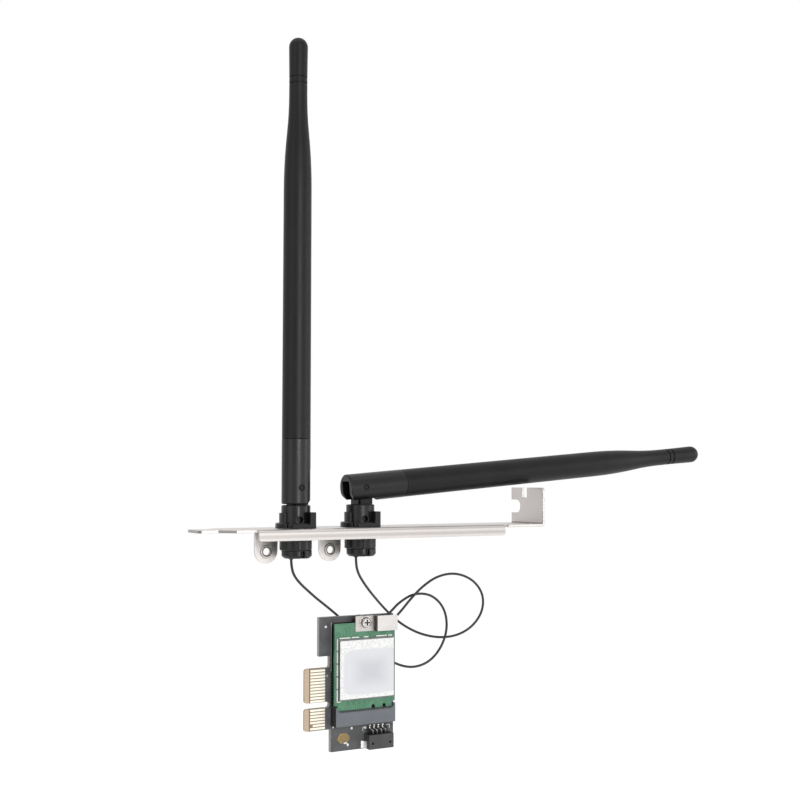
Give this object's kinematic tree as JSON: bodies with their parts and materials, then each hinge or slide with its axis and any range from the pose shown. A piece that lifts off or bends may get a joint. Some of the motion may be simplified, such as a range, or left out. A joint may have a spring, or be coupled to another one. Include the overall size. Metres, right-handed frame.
{
  "type": "wireless network card",
  "caption": "Wireless network card: slot bracket with hinged rod antennas on thin coaxial leads, and a small black carrier board with edge fingers, a socketed radio module and a wire header.",
  "frame": {"origin": "on the bracket's outer face, mid-width, midway between the two antennas", "axes": "+X along the bracket towards its screw tab, +Y away from the viewer to the side where the ears are, +Z out of the bracket along the upright antenna"},
  "size_m": [0.196, 0.0287, 0.2262],
  "materials": {
    "bracket": "dull nickel plate",
    "aerial_plastic": "fine moulded grain",
    "hinge_pin": "plain",
    "radiator": "plain",
    "lead_jacket": "satin jacket",
    "lead_plug": "gold plate",
    "board": "black solder mask",
    "gold": "gold plate",
    "module_board": "green solder mask",
    "socket": "moulded",
    "tin": "tinned",
    "shield": "tin plate",
    "label": "blank printed paper",
    "clip": "bright plate",
    "screw": "bright plate",
    "standoff": "plain",
    "chips": "moulded",
    "passives": "ceramic",
    "header": "moulded"
  },
  "bodies": {
    "base": {"bracket": "bracket", "left_socket": "aerial_plastic", "left_lock_ring": "aerial_plastic", "left_nut": "aerial_plastic", "left_lead_cap": "aerial_plastic", "left_lead": "lead_jacket", "left_lead_plug": "lead_plug", "right_socket": "aerial_plastic", "right_lock_ring": "aerial_plastic", "right_nut": "aerial_plastic", "right_lead_cap": "aerial_plastic", "right_lead": "lead_jacket", "right_lead_plug": "lead_plug", "carrier_board": "board", "edge_fingers": "gold", "ground_pad": "gold", "board_passives": "passives", "module_board": "module_board", "module_contacts": "gold", "module_socket": "socket", "socket_tails": "tin", "shield_frame": "shield", "shield_lid": "shield", "blank_label": "label", "radio_chips": "chips", "retainer_clip": "clip", "standoff": "standoff", "clip_screw": "screw", "aerial_jacks": "gold", "header_housing": "header", "header_pins": "tin", "header_nails": "tin"},
    "left_foot": {"left_knuckle": "aerial_plastic"},
    "left_rod": {"left_sleeve": "aerial_plastic", "left_radome": "aerial_plastic", "left_radiator": "radiator", "left_hinge_pin": "hinge_pin"},
    "right_foot": {"right_knuckle": "aerial_plastic"},
    "right_rod": {"right_sleeve": "aerial_plastic", "right_radome": "aerial_plastic", "right_radiator": "radiator", "right_hinge_pin": "hinge_pin"}
  },
  "joints": [
    {"name": "left_swivel", "type": "hinge", "parent": "base", "child": "left_foot", "pos_m": [-0.0111, 0, 0.004], "axis": [0, 0, 1], "range_deg": [-90, 90]},
    {"name": "left_tilt", "type": "hinge", "parent": "left_foot", "child": "left_rod", "pos_m": [-0.0111, 0, 0.01235], "axis": [0, 1, 0], "range_deg": [0, 58]},
    {"name": "right_swivel", "type": "hinge", "parent": "base", "child": "right_foot", "pos_m": [0.0111, 0, 0.004], "axis": [0, 0, 1], "range_deg": [-90, 90]},
    {"name": "right_tilt", "type": "hinge", "parent": "right_foot", "child": "right_rod", "pos_m": [0.0111, 0, 0.01235], "axis": [0, 1, 0], "range_deg": [-85.1, 0]}
  ]
}
